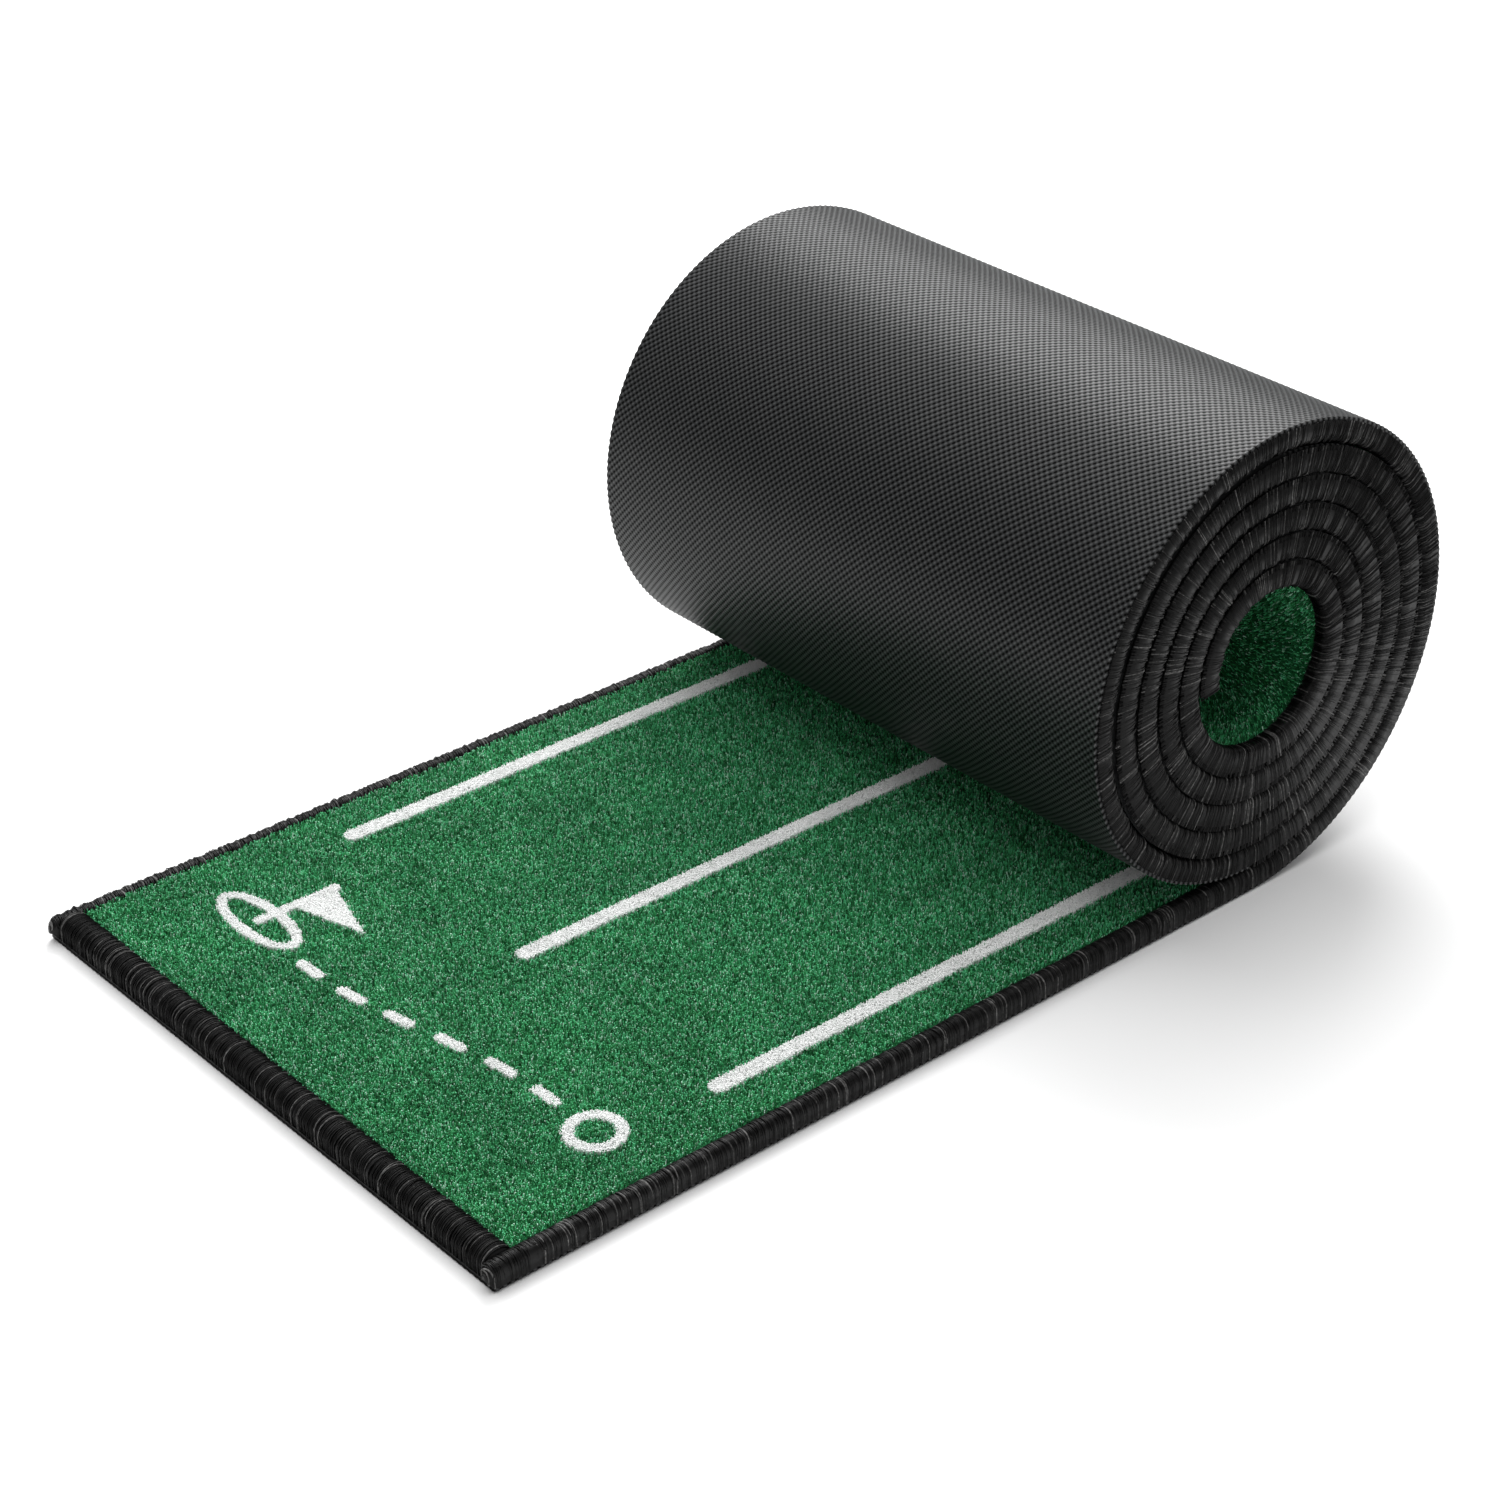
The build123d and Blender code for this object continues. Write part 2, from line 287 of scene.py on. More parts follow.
def slab(rows, low, high):
    """A closed slab of the mat. rows are its places along s, and low and high are (height, places across),
    where height(x, s) gives that face's height."""
    (low_h, low_x), (high_h, high_x) = low, high

    def sheet_grid(xs, height):
        grid_x, grid_s = np.meshgrid(xs, rows)
        return lay(grid_x, grid_s, height(grid_x, grid_s)).reshape(-1, 3)

    under, over = sheet_grid(low_x, low_h), sheet_grid(high_x, high_h)
    n, a, b = len(rows), len(low_x), len(high_x)
    top = len(under)

    def quads(width, offset, flip):
        i = (np.arange(n - 1)[:, None] * width + np.arange(width - 1)).ravel() + offset
        order = [i, i + 1, i + 1 + width, i + width]
        return np.stack(order[::-1] if flip else order, axis=1)

    r = np.arange(n - 1)
    left = np.stack([r * a, top + r * b, top + (r + 1) * b, (r + 1) * a], axis=1)
    right = left[:, ::-1] + np.array([a - 1, b - 1, b - 1, a - 1])
    first = np.concatenate([np.arange(a), top + np.arange(b)[::-1]])[None]
    last_low, last_high = (n - 1) * a + np.arange(a), top + (n - 1) * b + np.arange(b)
    last = np.concatenate([last_low[::-1], last_high])[None]
    faces = [quads(a, 0, True), quads(b, top, False), left, right, first, last]
    return np.concatenate([under, over]), faces


def rows_between(s0, s1, step):
    """Places from s0 to s1, both included, and the multiples of step between them that aren't too close."""
    inner = np.arange(math.ceil(s0 / step), math.floor(s1 / step) + 1) * step
    margin = 0.2 * step
    inner = inner[(inner > s0 + margin) & (inner < s1 - margin)]
    return np.concatenate([[s0], inner, [s1]])


def level(height):
    """A face of a slab at one height all over."""
    return lambda x, s: np.full(x.shape, height)


def plain_rows(start, stop):
    """Places from start to stop for a plain face that only has to follow the curve of the roll."""
    return np.linspace(start, stop, 2 + int((stop - start) / PLAIN_STEP))


def needles(roots, tips, width, rng):
    """Closed three-sided needles, widest at their roots."""
    axis = tips - roots
    axis /= np.linalg.norm(axis, axis=1, keepdims=True)
    side = np.cross(axis, rng.normal(size=axis.shape))
    side /= np.linalg.norm(side, axis=1, keepdims=True)
    other = np.cross(axis, side)
    corners = []
    for turn in (0, THIRD_OF_TURN, 2 * THIRD_OF_TURN):
        corners.append(roots + width[:, None] * (math.cos(turn) * side + math.sin(turn) * other))
    verts = np.stack([*corners, tips], axis=1).reshape(-1, 3)
    i = np.arange(len(roots)) * 4
    faces = [np.stack([i, i + 2, i + 1], 1), np.stack([i, i + 1, i + 3], 1)]
    faces += [np.stack([i + 1, i + 2, i + 3], 1), np.stack([i + 2, i, i + 3], 1)]
    return verts, [np.concatenate(faces)]


def tubes(lines, radius):
    """Closed three-sided tubes, side by side. lines is (tubes, points, 3) and radius (tubes, points)."""
    count, points = lines.shape[:2]
    run = np.gradient(lines, axis=1)
    run /= np.linalg.norm(run, axis=2, keepdims=True)
    side = np.cross(run, np.gradient(lines.mean(axis=1), axis=0)[:, None])
    side /= np.linalg.norm(side, axis=2, keepdims=True)
    other = np.cross(run, side)
    rings = []
    for turn in math.pi / 2 + THIRD_OF_TURN * np.arange(3):
        rings.append(lines + radius[..., None] * (math.cos(turn) * side + math.sin(turn) * other))
    verts = np.stack(rings, axis=2).reshape(-1, 3)
    base = (np.arange(count) * points * 3)[:, None] + np.arange(points - 1) * 3
    base = base.ravel()
    faces = []
    for k in range(3):
        m = (k + 1) % 3
        faces.append(np.stack([base + k, base + m, base + m + 3, base + k + 3], 1))
    start = np.arange(count) * points * 3
    end = start + (points - 1) * 3
    caps = [np.stack([start, start + 2, start + 1], 1), np.stack([end, end + 1, end + 2], 1)]
    return verts, [np.concatenate(faces), np.concatenate(caps)]


def join(parts):
    """Several (vertices, faces) as one."""
    verts, faces, offset = [], [], 0
    for v, fs in parts:
        verts.append(v)
        faces += [f + offset for f in fs]
        offset += len(v)
    return np.concatenate(verts), faces


# ---------------------------------------------------------------- stretches of the mat

def mount(obj, stretch, *nodes):
    """Fixes a piece to the body of its stretch, or leaves it in the CAD model's frame where the stretch
    lies between two bodies, and hides the CAD nodes that it stands for.
    """
    body = stretch["body"]
    if isinstance(body, tuple):
        lay(0, stretch["start"], 0)
        lay(0, stretch["stop"], 0)
        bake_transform(obj)
    else:
        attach(obj, body)
    if nodes:
        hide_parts(*nodes)
    return obj


def stretch(name, prefix, start, stop, body):
    return {"name": name, "prefix": prefix, "start": start, "stop": stop, "body": body}


FLAT = stretch("flat", "flat", -FLAT_LENGTH, 0.0, "flat_run")
BENDS = []
for k in range(1, BEND_COUNT + 1):
    prefix = f"bend{k}" if k < BEND_COUNT else None
    start, stop = along((k - 1) * BEND_STEP), along(k * BEND_STEP)
    BENDS.append(stretch(f"bend{k}", prefix, start, stop, (CHAIN[k - 1], CHAIN[k])))
ROLL = stretch("roll", "roll", along(180), ROLL_END, "coil")
STRETCHES = [FLAT, *BENDS, ROLL]


def node_of(piece_stretch, layer):
    """The CAD node that a layer of this stretch stands for, as a tuple of none or one."""
    return (f"{piece_stretch['prefix']}_{layer}",) if piece_stretch["prefix"] else ()


# ---------------------------------------------------------------- rubber backing

STUD_X = 1.35 * MM
STUD_S = 1.39 * MM
STUD_DEPTH = 0.45 * MM


def stud_share(x, s):
    """How far up a stud a place is, from 0 in the valleys to 1 on the tops."""
    return 0.5 + 0.5 * np.cos(np.pi * x / STUD_X) * np.cos(np.pi * s / STUD_S)


def stud_height(x, s):
    """The studded underside: rounded studs in a square lattice turned by 45 degrees."""
    return STUD_DEPTH * (1 - stud_share(x, s))


def across(half, step):
    """Places across the mat on multiples of step, with both edges."""
    return rows_between(-half, half, step)


def rubber_piece(name, part, start, stop, fineness, half=RUBBER_HALF):
    """A length of backing. fineness is how many mesh rows half a stud gets, or 0 for a plain face."""
    wide = np.array([-half, half])
    if fineness:
        rows = rows_between(start, stop, STUD_S / fineness)
        low = (stud_height, across(half, STUD_X / fineness))
    else:
        rows = plain_rows(start, stop)
        low = (level(0.0), wide)
    verts, faces = slab(rows, low, (level(RUBBER_TOP), wide))
    obj = make_object(name, verts, faces, RUBBER)
    # How far up a stud each point is, 0.5 on plain faces; it paints a highlight on the stud tops and shade
    # in the valleys.
    painted_stud_light = np.full(len(verts), 0.5)
    if fineness:
        underside = stud_share(*np.meshgrid(low[1], rows)).ravel()
        painted_stud_light[:len(underside)] = underside
    obj.data.attributes.new("painted_stud_light", "FLOAT", "POINT").data.foreach_set("value", painted_stud_light)
    obj.data.set_sharp_from_angle(angle=math.radians(62))
    return mount(obj, part, *node_of(part, "rubber_backing"))


rubber_piece("rubber_flat", FLAT, FLAT["start"], 0.0, 1)
for bend in BENDS:
    rubber_piece(f"rubber_{bend['name']}", bend, bend["start"], bend["stop"], 2)
for label, start, stop, fineness, half in (
    ("front_high", 180, 270, 2, RUBBER_HALF), ("front_low", 270, 360, 2, RUBBER_HALF),
    ("second", 360, 540, 1, COIL_RUBBER_HALF), ("inner", 540, ROLL_END_DEG, 0, COIL_RUBBER_HALF),
):
    rubber_piece(f"rubber_roll_{label}", ROLL, along(start), along(stop), fineness, half)


# ---------------------------------------------------------------- primary cloth

CLOTH_TUCK = 2 * MM


def cloth_piece(part):
    """The woven cloth under the pile. It is a sheet, and the other layers are bonded to it."""
    start = part["start"] + (CLOTH_TUCK if part is FLAT else 0)
    stop = part["stop"] - (CLOTH_TUCK if part is ROLL else 0)
    rows = plain_rows(start, stop)
    wide = np.array([-CLOTH_HALF, CLOTH_HALF])
    verts, faces = slab(rows, (level(RUBBER_TOP), wide), (level(CLOTH_TOP), wide))
    obj = make_object(f"cloth_{part['name']}", verts, faces, CLOTH)
    obj.data.set_sharp_from_angle(angle=math.radians(40))
    mount(obj, part, *node_of(part, "primary_cloth"))


for part in STRETCHES:
    cloth_piece(part)


# ---------------------------------------------------------------- what is white

# Sizes of the pictogram. Its y is the distance from the mat's front edge.
STROKE = 3.8 * MM
FLAG_X, FLAG_FOOT, FLAG_TIP = -75 * MM, 50 * MM, 85 * MM
PENNANT_LENGTH, PENNANT_DEPTH = 28 * MM, 17.5 * MM
HOLE_HALF_WIDTH, HOLE_HALF_DEPTH = 22 * MM, 9 * MM
BALL_X, BALL_Y, BALL_RADIUS = 92 * MM, 64 * MM, 10.5 * MM
DASH_COUNT, DASH_LENGTH = 6, 13 * MM
DASH_FIRST, DASH_PITCH = -39 * MM, 21.3 * MM
DASH_Y, DASH_SWING = 56 * MM, 7.8 * MM


def near_line(x, y, x0, y0, x1, y1, radius):
    """Within radius of a straight stroke, with round ends."""
    along_it = np.array([x1 - x0, y1 - y0])
    t = np.clip(((x - x0) * along_it[0] + (y - y0) * along_it[1]) / (along_it @ along_it), 0, 1)
    return np.hypot(x - x0 - t * along_it[0], y - y0 - t * along_it[1]) < radius


def in_flag(x, y):
    """Flagstick and pennant."""
    half = STROKE / 2
    stick = near_line(x, y, FLAG_X, FLAG_FOOT + half, FLAG_X, FLAG_TIP - half, half)
    share = (x - FLAG_X) / (PENNANT_LENGTH + half)
    middle = FLAG_TIP - half - PENNANT_DEPTH / 2
    pennant = (share > 0) & (np.abs(y - middle) < PENNANT_DEPTH / 2 * (1 - share))
    return stick | pennant


def in_hole_ring(x, y):
    """The rim of the hole, as an ellipse that the flag stands in."""
    dx, dy = x - FLAG_X, y - FLAG_FOOT - STROKE / 2
    outer = np.hypot(dx / HOLE_HALF_WIDTH, dy / HOLE_HALF_DEPTH) < 1
    inner = np.hypot(dx / (HOLE_HALF_WIDTH - STROKE), dy / (HOLE_HALF_DEPTH - STROKE)) < 1
    return outer & ~inner & ~in_flag(x, y)


def in_putt_path(x, y):
    """The dashes from the flag to the ball, which follow half a wave."""
    inside = np.zeros(x.shape, bool)
    reach = (DASH_LENGTH - STROKE) / 2
    for n in range(DASH_COUNT):
        phase = math.pi * (n / (DASH_COUNT - 1) - 0.5)
        tilt = math.atan2(DASH_SWING * math.cos(phase) * math.pi, DASH_PITCH * DASH_COUNT)
        middle_x, middle_y = DASH_FIRST + n * DASH_PITCH, DASH_Y + DASH_SWING * math.sin(phase)
        dx, dy = reach * math.cos(tilt), reach * math.sin(tilt)
        inside |= near_line(x, y, middle_x - dx, middle_y - dy, middle_x + dx, middle_y + dy, STROKE / 2)
    return inside


def in_ball_ring(x, y):
    """The outline of the ball."""
    return np.abs(np.hypot(x - BALL_X, y - BALL_Y) - BALL_RADIUS + STROKE / 2) < STROKE / 2


MOTIF = {"flag": in_flag, "hole_ring": in_hole_ring, "putt_path": in_putt_path, "ball_ring": in_ball_ring}
GUIDES = {"left": -GUIDE_X, "centre": 0.0, "right": GUIDE_X}


def in_guide(x, s, middle):
    """In one guide line, which starts with a rounded end and stops inside the roll."""
    radius = GUIDE_WIDTH / 2
    start = GUIDE_START - FLAT_LENGTH + radius
    return np.hypot(x - middle, np.minimum(s - start, 0)) < radius


def is_white(x, s):
    """In any guide line or any stroke of the pictogram."""
    white = np.zeros(x.shape, bool)
    for middle in GUIDES.values():
        white |= in_guide(x, s, middle) & (s < GUIDE_END)
    for inside in MOTIF.values():
        white |= inside(x, s + FLAT_LENGTH)
    return white


# ---------------------------------------------------------------- pile

GROUND_TOP = 7.7 * MM
GROUND_BUMP = 0.35 * MM
FIBRE_ROOT = 6.2 * MM
FIBRE_WIDTH = (0.15 * MM, 0.27 * MM)
FIBRE_UNEVEN = 0.22 * MM
TURF_OVERHANG = 0.4 * MM
GREEN_LEAN = 1.1 * MM
WHITE_LEAN = 0.55 * MM
WHITE_TOP = PILE_TOP + 0.1 * MM

# Fibres in a square metre, and in the largest piece.
GREEN_DENSITY = 2.8e6
CORE_DENSITY = 1.3e6
WHITE_DENSITY = 12.0e6
BEND_WHITE_DENSITY = 7.0e6
HIDDEN_DENSITY = 1.0e6
MAX_FIBRES = 48000


def ground_height(x, s):
    """The uneven top of the fibre mass."""
    bumps = np.sin(x * 2100 + 1.7 * np.sin(s * 1300)) * np.sin(s * 1900 + 1.3 * np.sin(x * 1700))
    return GROUND_TOP + GROUND_BUMP * bumps


def ground_piece(part, start, stop, step):
    """The dense lower part of the pile, as a closed slab."""
    rows = rows_between(start, stop, step)
    wide = np.array([-TURF_HALF, TURF_HALF])
    top = (ground_height, across(TURF_HALF, step))
    verts, faces = slab(rows, (level(CLOTH_TOP), wide), top)
    obj = make_object(f"turf_ground_{part['name']}", verts, faces, GROUND)
    obj.data.set_sharp_from_angle(angle=math.radians(60))
    return mount(obj, part)


def fibres(x, s, rng, lean, top):
    """Pile at these places: blunt fibres that lean every way, with their tips uneven."""
    count = len(x)
    heading = rng.uniform(0, 2 * math.pi, count)
    reach = np.abs(rng.normal(0, lean, count))
    tip_h = top + rng.normal(0, FIBRE_UNEVEN, count)
    tip_h = np.minimum(tip_h - 0.25 * reach, BEAD_TOP)
    roots = lay(x, s, np.full(count, FIBRE_ROOT))
    edge = TURF_HALF + TURF_OVERHANG
    tip_x = np.clip(x + reach * np.cos(heading), -edge, edge)
    tips = lay(tip_x, s + reach * np.sin(heading), tip_h)
    return needles(tips, roots, rng.uniform(*FIBRE_WIDTH, count), rng)


def scatter(start, stop, half, density, rng):
    """Even random places over a length of mat."""
    count = int((stop - start) * 2 * half * density)
    return rng.uniform(-half, half, count), rng.uniform(start, stop, count)


def green_pile(name, part, start, stop, density, seed, *nodes):
    """The green fibres of a length, in as many pieces as keep each one light."""
    rng = np.random.default_rng(seed)
    x, s = scatter(start, stop, TURF_HALF, density, rng)
    keep = ~is_white(x, s)
    x, s = x[keep], s[keep]
    order = np.argsort(s, kind="stable")
    pieces = max(1, math.ceil(len(x) / MAX_FIBRES))
    for number, some in enumerate(np.array_split(order, pieces)):
        verts, faces = fibres(x[some], s[some], rng, GREEN_LEAN, PILE_TOP)
        suffix = f"_{number + 1}" if pieces > 1 else ""
        obj = make_object(f"turf_{name}{suffix}", verts, faces, TURF, smooth=False)
        mount(obj, part, *nodes)


def white_pile(name, part, start, stop, half, middle, inside, density, seed, *nodes):
    """White fibres wherever inside(x, s) says, within half of the middle."""
    rng = np.random.default_rng(seed)
    x, s = scatter(start, stop, half, density, rng)
    x = x + middle
    keep = inside(x, s)
    if not keep.any():
        return
    verts, faces = fibres(x[keep], s[keep], rng, WHITE_LEAN, WHITE_TOP)
    obj = make_object(name, verts, faces, WHITE, smooth=False)
    mount(obj, part, *nodes)


def guide_pile(part, start, stop, density, seed):
    """The three guide lines over one length. A strip's three lines are one CAD node."""
    together = part["name"].startswith("bend")
    for offset, (side, middle) in enumerate(GUIDES.items()):
        nodes = node_of(part, "guide_lines" if together else f"{side}_guide_line")
        white_pile(f"guide_{side}_{part['name']}", part, start, stop, GUIDE_WIDTH / 2, middle,
                   lambda x, s: in_guide(x, s, middle), density, seed + offset, *nodes)


TURF_UNDER_BEAD = 1.5 * MM
TURF_SHORT_OF_END = 10.5 * MM
FLAT_TURF_START = FLAT["start"] + FRONT_BEAD - TURF_UNDER_BEAD
MOTIF_START, MOTIF_STOP = FLAT["start"] + 36 * MM, FLAT["start"] + 92 * MM
MOTIF_HALF = 108 * MM
CORE_START = along(1700)
CORE_STOP = ROLL_END - TURF_SHORT_OF_END
FLAT_GROUND_STEP, BEND_GROUND_STEP, ROLL_GROUND_STEP = 1.2 * MM, 1.5 * MM, 3 * MM

# The whole number in each call is that piece's random seed.
ground_piece(FLAT, FLAT_TURF_START, 0.0, FLAT_GROUND_STEP)
green_pile("flat", FLAT, FLAT_TURF_START, 0.0, GREEN_DENSITY, 11, "flat_turf_pile")
guide_pile(FLAT, FLAT["start"] + GUIDE_START, 0.0, WHITE_DENSITY, 500)
for number, (name, inside) in enumerate(MOTIF.items()):
    white_pile(f"motif_{name}_pile", FLAT, MOTIF_START, MOTIF_STOP, MOTIF_HALF, 0.0,
               lambda x, s: inside(x, s + FLAT_LENGTH), WHITE_DENSITY, 700 + number, f"motif_{name}")
for number, bend in enumerate(BENDS):
    ground_piece(bend, bend["start"], bend["stop"], BEND_GROUND_STEP)
    green_pile(bend["name"], bend, bend["start"], bend["stop"], GREEN_DENSITY, 20 + number,
               *node_of(bend, "turf_pile"))
    guide_pile(bend, bend["start"], bend["stop"], BEND_WHITE_DENSITY, 520 + 5 * number)
ground_piece(ROLL, ROLL["start"], CORE_STOP, ROLL_GROUND_STEP)
green_pile("core", ROLL, CORE_START, CORE_STOP, CORE_DENSITY, 40, "roll_turf_pile")
guide_pile(ROLL, ROLL["start"], GUIDE_END, HIDDEN_DENSITY, 580)


# ---------------------------------------------------------------- whipped edges

BEAD_MIDDLE = 5.2 * MM
BEAD_FOOT = 1.3 * MM
SIDE_RISE = 4.1 * MM
COIL_RISE = 4.55 * MM
FRONT_RISE = 4.9 * MM
COIL_TOP = BEAD_TOP + 0.5 * MM
INNER_END_TOP = BEAD_TOP - 0.2 * MM
TURF_ANGLE = 0.92 * math.pi
LIP_ANGLE = 0.30
EAR_ROUND = 3.5 * MM
END_TUCK = 0.15 * MM
END_FOOT = 1.2 * MM
CORE_DEPTH = 0.32 * MM
STRAND_PITCH = 0.46 * MM
STRAND_RADIUS = 0.27 * MM
STRAND_POINTS = 10
STRAND_SLANT = 1.1 * MM
SLANT_SPREAD = 0.9 * MM
LIFT_SPREAD = 0.11 * MM
RADIUS_SHARES = (0.7, 1.3)
MAX_STRANDS = 2600

# Stray hairs. HAIR_RISE and HAIR_STRAY are shares of a hair's length.
FUZZ_PER_METRE = 3400
HAIR_LENGTH = (0.7 * MM, 1.9 * MM)
HAIR_WIDTH = (0.05 * MM, 0.10 * MM)
HAIR_RISE = 0.24
HAIR_STRAY = 0.35
LONGEST_HAIR = 1.7 * MM


def arched(share, width, rise, fullness=1.0):
    """A whipping's outline, from the turf, over the top, and down to the rubber's lip: how far in from
    the mat's edge and how high, for shares of the way from 0 to 1. A fullness below 1 squares it."""
    angle = (1 - share) * TURF_ANGLE - share * LIP_ANGLE
    across_it = np.sign(np.cos(angle)) * np.abs(np.cos(angle)) ** fullness
    up_it = np.sign(np.sin(angle)) * np.abs(np.sin(angle)) ** fullness
    foot_rise = (BEAD_MIDDLE - BEAD_FOOT) / math.sin(LIP_ANGLE) ** fullness
    height = BEAD_MIDDLE + np.where(angle > 0, rise, foot_rise) * up_it
    return width / 2 * (1 - across_it), height


def side_profile(share):
    """The outline over a side edge."""
    return arched(share, BEAD_HALF - TURF_HALF, SIDE_RISE, 0.85)


def coil_profile(share):
    """The outline over a side edge inside the roll, where neighbouring turns press together."""
    inward, height = arched(share, BEAD_HALF - TURF_HALF, COIL_RISE, 0.55)
    below = np.clip((BEAD_MIDDLE - height) / (BEAD_MIDDLE - BEAD_FOOT), 0, 1)
    return inward, height - BEAD_FOOT * below


def front_profile(share):
    """The outline over the front edge, which is wider and higher than a side's."""
    return arched(share, FRONT_BEAD, FRONT_RISE)


def strand_shape(count, rng):
    """Where each strand's points are along its profile, and its slant, offset and thickness."""
    share = np.broadcast_to(np.linspace(0, 1, STRAND_POINTS), (count, STRAND_POINTS))
    slant = STRAND_SLANT + rng.normal(0, SLANT_SPREAD, count)
    lift = rng.normal(0, LIFT_SPREAD, count)
    radius = STRAND_RADIUS * rng.uniform(*RADIUS_SHARES, count)[:, None] * np.ones((1, STRAND_POINTS))
    return share, slant[:, None] * (share - 0.5), lift[:, None], radius


def clumps(places):
    """The bunching of the whipping along an edge: round-backed bundles with creases between them."""
    turn = places * 760 + 0.9 * np.sin(places * 410) + 0.5 * np.sin(places * 1130)
    return 0.42 * MM * (np.abs(np.sin(turn)) ** 0.6 - 0.75)


def at_side(side, inward, s, height):
    """Points of a side's whipping, which rounds off where it sticks out past the front edge."""
    middle = (BEAD_HALF - TURF_HALF) / 2
    gone = np.clip(1 - (s - EAR_Y + ROLL_Y) / EAR_ROUND, 0, 0.97)
    size = np.sqrt(1 - gone ** 2)
    inward = middle + (inward - middle) * size
    return lay(side * (BEAD_HALF - inward), s, BEAD_MIDDLE + (height - BEAD_MIDDLE) * size)


def side_strands(side, start, stop, profile, rng):
    """Strands over one side edge, each as a line of points, and their radii."""
    count = max(2, int((stop - start) / STRAND_PITCH))
    centre = np.linspace(start, stop, count, endpoint=False) + STRAND_PITCH / 2
    share, slant, lift, radius = strand_shape(count, rng)
    inward, height = profile(share)
    bulge = lift + clumps(centre)[:, None]
    s = np.clip(centre[:, None] + slant, start, stop)
    inward = np.maximum(inward - bulge, 0) + radius
    top = COIL_TOP if profile is coil_profile else BEAD_TOP
    h = np.clip(height + bulge * np.sin(np.pi * share), height.min(), top)
    return at_side(side, inward, s, h), radius


def fuzz(lines, amount, rng):
    """Stray hairs that lift off the strands."""
    pick = rng.integers(0, len(lines), amount)
    place = rng.integers(1, STRAND_POINTS - 2, amount)
    roots = lines[pick, place]
    run = lines[pick, place + 1] - roots
    run /= np.maximum(np.linalg.norm(run, axis=1, keepdims=True), 1e-9)
    out = roots - lines[pick].mean(axis=1)
    out /= np.maximum(np.linalg.norm(out, axis=1, keepdims=True), 1e-9)
    length = rng.uniform(*HAIR_LENGTH, amount)[:, None]
    stray = rng.normal(0, HAIR_STRAY, (amount, 3))
    reach = length * (run + HAIR_RISE * out + stray)
    reach *= np.minimum(1.0, LONGEST_HAIR / np.linalg.norm(reach, axis=1))[:, None]
    return needles(roots, roots + reach, rng.uniform(*HAIR_WIDTH, amount), rng)


def bead_core(profile, places, hand, to_points):
    """The closed core under the strands, from rings of profile points at each place. hand is -1 where
    the rings run the other way round."""
    share = np.linspace(0, 1, STRAND_POINTS)
    inward, height = profile(share)
    middle_in, middle_h = inward.mean(), height.mean()
    away_in, away_h = inward - middle_in, height - middle_h
    size = np.hypot(away_in, away_h)
    inward = middle_in + away_in * (1 - CORE_DEPTH / size)
    height = np.clip(middle_h + away_h * (1 - CORE_DEPTH / size), RUBBER_TOP, None)
    inward = np.append(inward, inward[0])
    height = np.append(height, RUBBER_TOP + 0.1 * MM)
    rings = to_points(inward, height, places)
    n, width = rings.shape[:2]
    verts = rings.reshape(-1, 3)
    i = (np.arange(n - 1)[:, None] * width + np.arange(width)).ravel()
    ahead = (np.arange(n - 1)[:, None] * width + (np.arange(width) + 1) % width).ravel()
    faces = [np.stack([i, ahead, ahead + width, i + width], 1)]
    faces += [np.arange(width)[None, ::-1], ((n - 1) * width + np.arange(width))[None]]
    return verts, [f[:, ::hand] for f in faces]


def side_serging(label, side, part, start, stop, profile, seed, *nodes):
    """The whipping along one side over a length, in light pieces."""
    rng = np.random.default_rng(seed)
    total = max(1, math.ceil((stop - start) / STRAND_PITCH / MAX_STRANDS))
    cuts = np.linspace(start, stop, total + 1)
    for number in range(total):
        a, b = cuts[number], cuts[number + 1]
        lines, radius = side_strands(side, a, b, profile, rng)
        places = plain_rows(a, b)
        core = bead_core(profile, places, side, lambda inward, height, s: at_side(
            side, inward[None, :], s[:, None], height[None, :]))
        hairs = fuzz(lines, int((b - a) * FUZZ_PER_METRE), rng)
        verts, faces = join([tubes(lines, radius), core, hairs])
        suffix = f"_{number + 1}" if total > 1 else ""
        obj = make_object(f"serging_{label}{suffix}", verts, faces, YARN)
        mount(obj, part, *nodes)


def end_points(base, forward):
    """A function that turns (inward, height) into points across the mat at an end."""
    return lambda inward, height, x: lay(x[:, None], base + forward * inward[None, :], height[None, :])


def end_serging(name, base, forward, part, profile, highest, seed, node):
    """The whipping across an end of the mat. forward is 1 at the front edge and -1 at the inner end."""
    rng = np.random.default_rng(seed)
    count = int(2 * TURF_HALF / STRAND_PITCH)
    centre = np.linspace(-TURF_HALF, TURF_HALF, count)
    share, slant, lift, radius = strand_shape(count, rng)
    inward, height = profile(share)
    bulge = lift + clumps(centre)[:, None]
    x = np.clip(centre[:, None] + slant, -TURF_HALF, TURF_HALF)
    tuck = np.clip(inward - bulge, END_TUCK, None)
    h = np.clip(height + bulge * np.sin(np.pi * share), END_FOOT, highest)
    lines = lay(x, base + forward * tuck, h)
    places = np.linspace(-TURF_HALF, TURF_HALF, 60)
    core = bead_core(profile, places, forward, end_points(base, forward))
    hairs = fuzz(lines, int(2 * TURF_HALF * FUZZ_PER_METRE), rng)
    verts, faces = join([tubes(lines, radius), core, hairs])
    mount(make_object(name, verts, faces, YARN), part, node)


def inner_end_profile(share):
    """The inner end's whipping, kept below the next layer of the roll."""
    inward, height = front_profile(share)
    return inward, np.minimum(height, INNER_END_TOP)


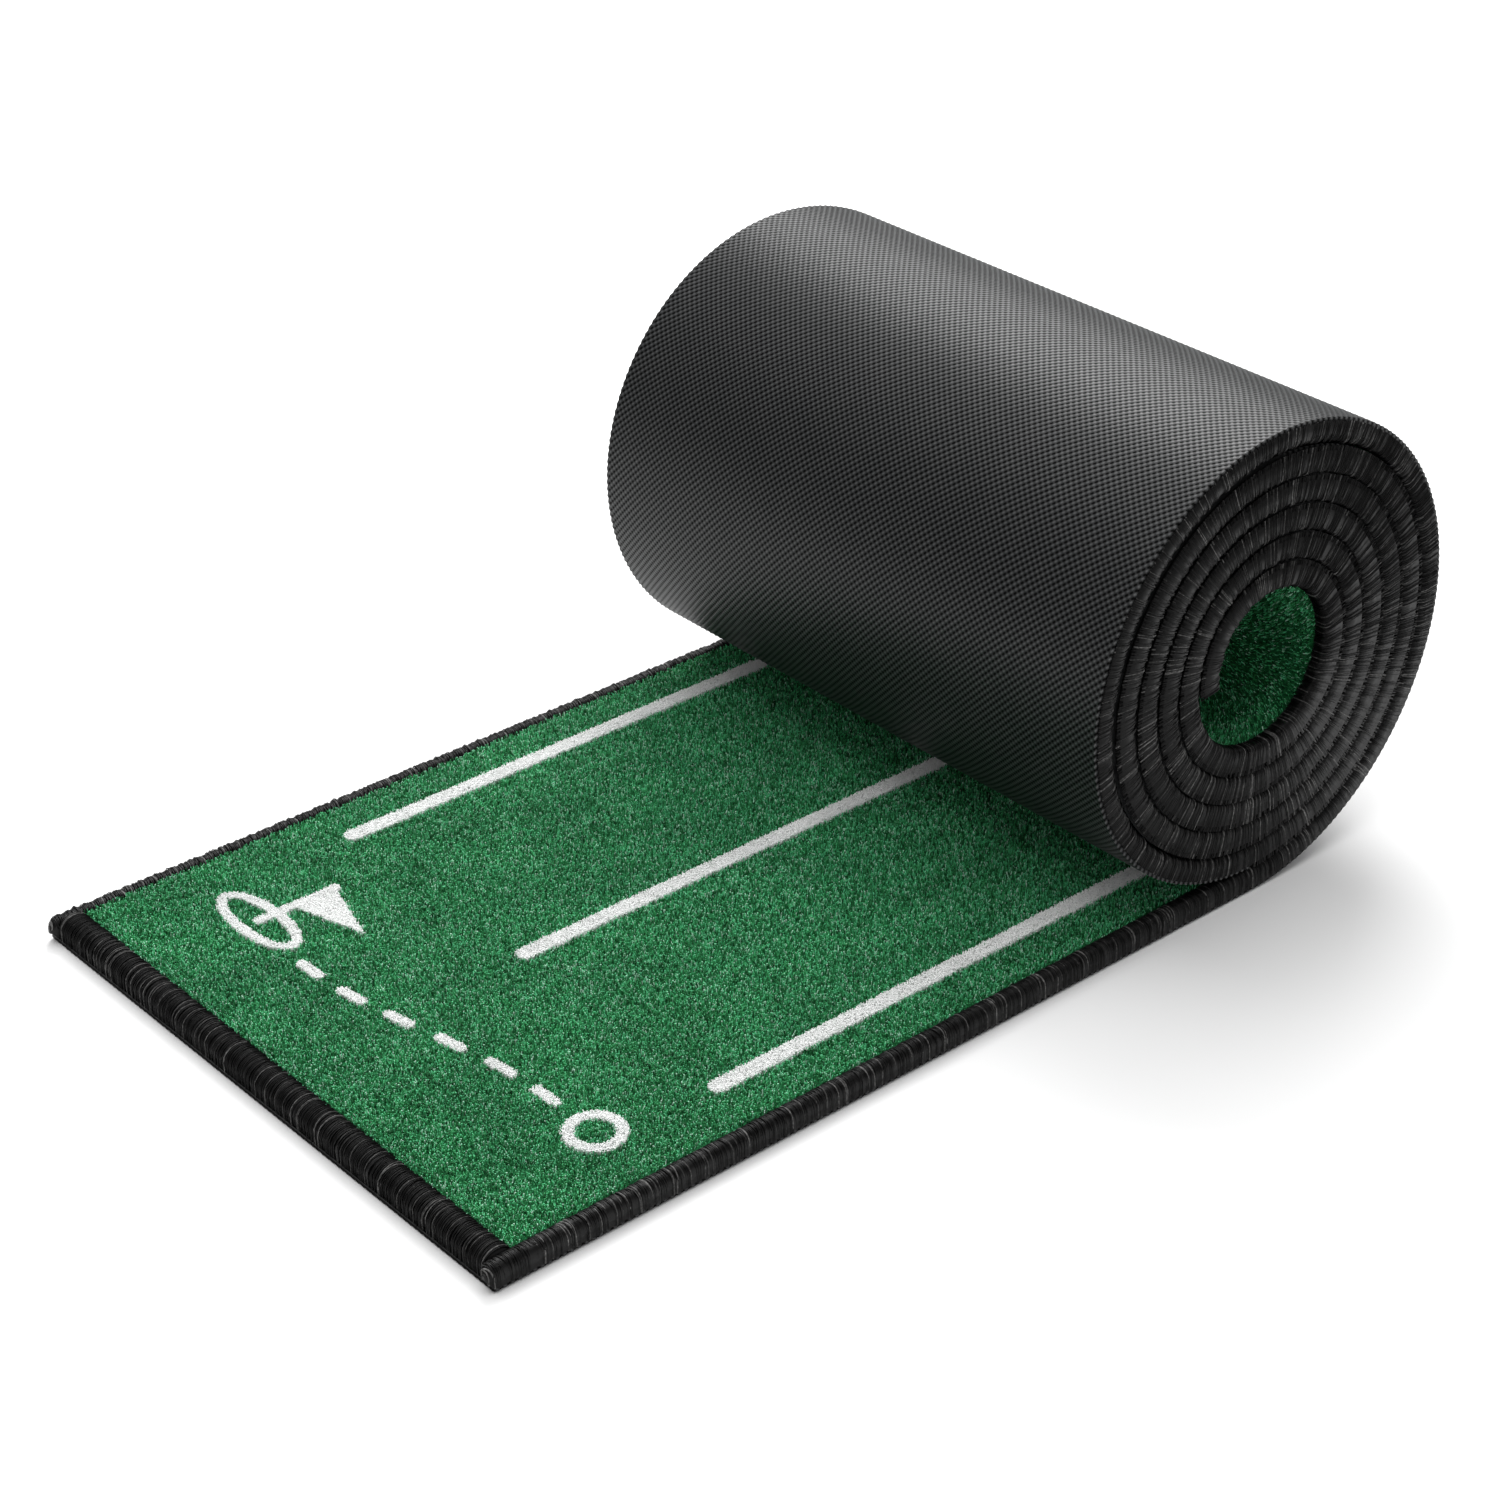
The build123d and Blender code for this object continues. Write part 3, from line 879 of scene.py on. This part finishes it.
SIDES = {"left": -1, "right": 1}
for offset, (name, side) in enumerate(SIDES.items()):
    node = f"roll_{name}_serging"
    side_serging(f"{name}_flat", side, FLAT, EAR_Y - ROLL_Y, 0.0, side_profile, 60 + offset,
                 f"flat_{name}_serging")
    for number, bend in enumerate(BENDS):
        side_serging(f"{name}_{bend['name']}", side, bend, bend["start"], bend["stop"], side_profile,
                     80 + 2 * number + offset, *node_of(bend, "side_sergings"))
    side_serging(f"{name}_roll_outer", side, ROLL, along(180), along(360), side_profile, 110 + offset, node)
    side_serging(f"{name}_roll", side, ROLL, along(360), ROLL_END, coil_profile, 112 + offset, node)
end_serging("serging_front", -FLAT_LENGTH, 1, FLAT, front_profile, FRONT_TOP, 130, "flat_front_serging")
end_serging("serging_inner_end", ROLL_END, -1, ROLL, inner_end_profile, BEAD_TOP, 131, "roll_end_serging")


# ---------------------------------------------------------------- floor, light and camera

FLOOR_HALF = 30


def area_light(name, place, target, size, power):
    """A soft square light that faces a target."""
    light = bpy.data.lights.new(name, "AREA")
    light.shape = "SQUARE"
    light.size = size
    light.energy = power
    obj = bpy.data.objects.new(name, light)
    obj.location = place
    obj.rotation_mode = "QUATERNION"
    obj.rotation_quaternion = (Vector(target) - Vector(place)).to_track_quat("-Z", "Y")
    bpy.context.scene.collection.objects.link(obj)


def make_floor():
    """A plain pale floor."""
    far = FLOOR_HALF
    corners = [(-far, -far, 0), (far, -far, 0), (far, far, 0), (-far, far, 0)]
    mesh = bpy.data.meshes.new("floor")
    mesh.from_pydata(corners, [], [(0, 1, 2, 3)])
    mat, _, shader = new_material("pale_floor", 0.9)
    shader.inputs["Base Color"].default_value = (0.9, 0.9, 0.9, 1)
    mesh.materials.append(mat)
    floor = bpy.data.objects.new("floor", mesh)
    floor.location.z = -0.2 * MM
    bpy.context.scene.collection.objects.link(floor)


make_floor()
MAT_MIDDLE = (-0.05, -0.05, 0)
ROLL_FRONT = (0, ROLL_Y - 0.06, 0.06)
area_light("top_softbox", (-0.25, -0.05, 1.9), MAT_MIDDLE, 2.2, 36)
area_light("back_softbox", (-0.85, 1.0, 1.3), ROLL_FRONT, 1.1, 27)

world = bpy.data.worlds.new("studio")
bpy.context.scene.world = world
world.use_nodes = True
background = world.node_tree.nodes["Background"]
background.inputs["Color"].default_value = (1, 1, 1, 1)
background.inputs["Strength"].default_value = 0.45
bpy.context.scene.view_settings.view_transform = "Standard"

CAMERA_PLACE = Vector((751.2, -446.3, 635.3)) * MM + Vector((0, FRONT_Y, 0))
CAMERA_AZIMUTH, CAMERA_ELEVATION = math.radians(48.97), math.radians(30.47)
camera = bpy.data.objects.new("camera", bpy.data.cameras.new("camera"))
camera.data.lens = 80.44
camera.data.sensor_width = 36
camera.data.clip_start, camera.data.clip_end = 0.01, 100
back = Vector((
    math.sin(CAMERA_AZIMUTH) * math.cos(CAMERA_ELEVATION),
    -math.cos(CAMERA_AZIMUTH) * math.cos(CAMERA_ELEVATION),
    math.sin(CAMERA_ELEVATION),
))
camera.location = CAMERA_PLACE
camera.rotation_mode = "QUATERNION"
camera.rotation_quaternion = (-back).to_track_quat("-Z", "Y")
bpy.context.scene.collection.objects.link(camera)
bpy.context.scene.camera = camera
